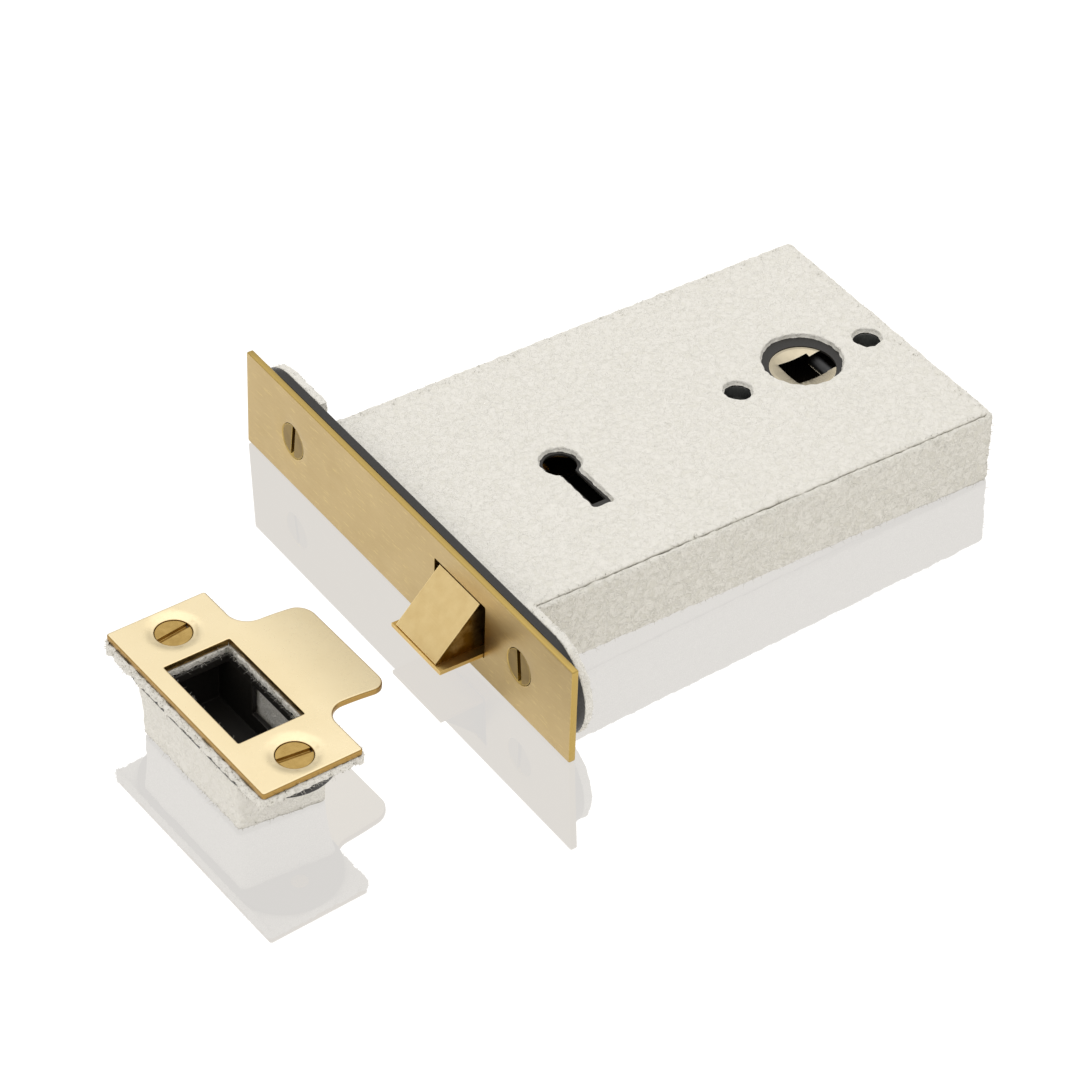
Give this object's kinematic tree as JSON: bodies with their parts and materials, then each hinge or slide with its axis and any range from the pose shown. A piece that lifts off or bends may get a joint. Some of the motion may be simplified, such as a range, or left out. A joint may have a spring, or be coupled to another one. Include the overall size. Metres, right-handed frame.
{
  "type": "mortise lock with strike",
  "caption": "Horizontal mortise lock in a felt-wrapped flat case, with brass face plate, bevelled spring latch, key bolt, keyhole, spindle follower and separate lipped strike.",
  "frame": {"origin": "centre of the face plate's front face, the face that ends flush with the door's edge", "axes": "+X from the front face into the door, +Y up the face plate, +Z through the door's thickness"},
  "size_m": [0.2121, 0.1348, 0.0282],
  "materials": {
    "brushed_brass": "brushed along its length, clear lacquer",
    "satin_brass": "satin",
    "screw_brass": "turned",
    "latch_brass": "filed and brushed",
    "bolt_brass": "rolled sheet",
    "lever_brass": "stamped sheet",
    "black_steel": "thin black paint",
    "bright_steel": "zinc plated",
    "spring_steel": "drawn wire and strip",
    "nickel": "turned and nickel plated",
    "dark_pin": "oil-blackened",
    "felt": "matted white fibre"
  },
  "bodies": {
    "case": {"face_plate": "brushed_brass", "face_plate_screws": "screw_brass", "forend": "black_steel", "forend_rivets": "bright_steel", "forend_liner_upper": "felt", "forend_liner_lower": "felt", "case_tray": "black_steel", "case_cover": "black_steel", "case_posts": "bright_steel", "cover_screws": "bright_steel", "liner_top": "felt", "liner_bottom": "felt", "liner_edge": "felt", "bolt_sleeves": "bright_steel", "latch_guide": "bright_steel", "latch_spring": "spring_steel", "bolt_guide_post": "bright_steel", "lever_pivot": "bright_steel"},
    "latch": {"latch_head": "latch_brass", "latch_tail": "bright_steel", "latch_rivets": "latch_brass", "latch_lug": "bright_steel"},
    "follower_hub": {"follower": "nickel", "follower_pin": "dark_pin"},
    "dead_bolt": {"bolt_plate": "bolt_brass", "bolt_talon": "bolt_brass", "bolt_stump": "bright_steel"},
    "lever_body_1": {"lever_1": "lever_brass", "lever_spring_1": "spring_steel"},
    "lever_body_2": {"lever_2": "lever_brass", "lever_spring_2": "spring_steel"},
    "lever_body_3": {"lever_3": "lever_brass", "lever_spring_3": "spring_steel"},
    "lever_body_4": {"lever_4": "lever_brass", "lever_spring_4": "spring_steel"},
    "lever_body_5": {"lever_5": "lever_brass", "lever_spring_5": "spring_steel"},
    "strike": {"strike_plate": "satin_brass", "strike_screws": "screw_brass", "strike_liner": "felt", "strike_inner_plate": "black_steel", "dust_box": "black_steel", "dust_box_liner": "felt"}
  },
  "joints": [
    {"name": "latch_slide", "type": "slide", "parent": "case", "child": "latch", "axis": [1, 0, 0], "range_m": [0, 0.0115], "stiffness_N_per_m": 300, "springref_m": -0.015, "deforming": ["latch_spring"]},
    {"name": "follower_turn", "type": "hinge", "parent": "case", "child": "follower_hub", "pos_m": [0.1112, -0.002, 0], "axis": [0, 0, 1], "range_deg": [0, 30]},
    {"name": "dead_bolt_slide", "type": "slide", "parent": "case", "child": "dead_bolt", "axis": [1, 0, 0], "range_m": [0, 0.0115]},
    {"name": "lever_1_swing", "type": "hinge", "parent": "case", "child": "lever_body_1", "pos_m": [0.092, 0.02, 0], "axis": [0, 0, 1], "range_deg": [-2.5, 2.5], "stiffness_Nm_per_rad": 0.05},
    {"name": "lever_2_swing", "type": "hinge", "parent": "case", "child": "lever_body_2", "pos_m": [0.092, 0.02, 0], "axis": [0, 0, 1], "range_deg": [-2.5, 2.5], "stiffness_Nm_per_rad": 0.05},
    {"name": "lever_3_swing", "type": "hinge", "parent": "case", "child": "lever_body_3", "pos_m": [0.092, 0.02, 0], "axis": [0, 0, 1], "range_deg": [-2.5, 2.5], "stiffness_Nm_per_rad": 0.05},
    {"name": "lever_4_swing", "type": "hinge", "parent": "case", "child": "lever_body_4", "pos_m": [0.092, 0.02, 0], "axis": [0, 0, 1], "range_deg": [-2.5, 2.5], "stiffness_Nm_per_rad": 0.05},
    {"name": "lever_5_swing", "type": "hinge", "parent": "case", "child": "lever_body_5", "pos_m": [0.092, 0.02, 0], "axis": [0, 0, 1], "range_deg": [-2.5, 2.5], "stiffness_Nm_per_rad": 0.05},
    {"name": "strike_lift", "type": "slide", "parent": "case", "child": "strike", "axis": [0, 0, 1], "range_m": [0, 0.03]}
  ],
  "couplings": [
    {"joint": "follower_turn", "follows": "latch_slide", "rad_per_m": 45.5}
  ]
}
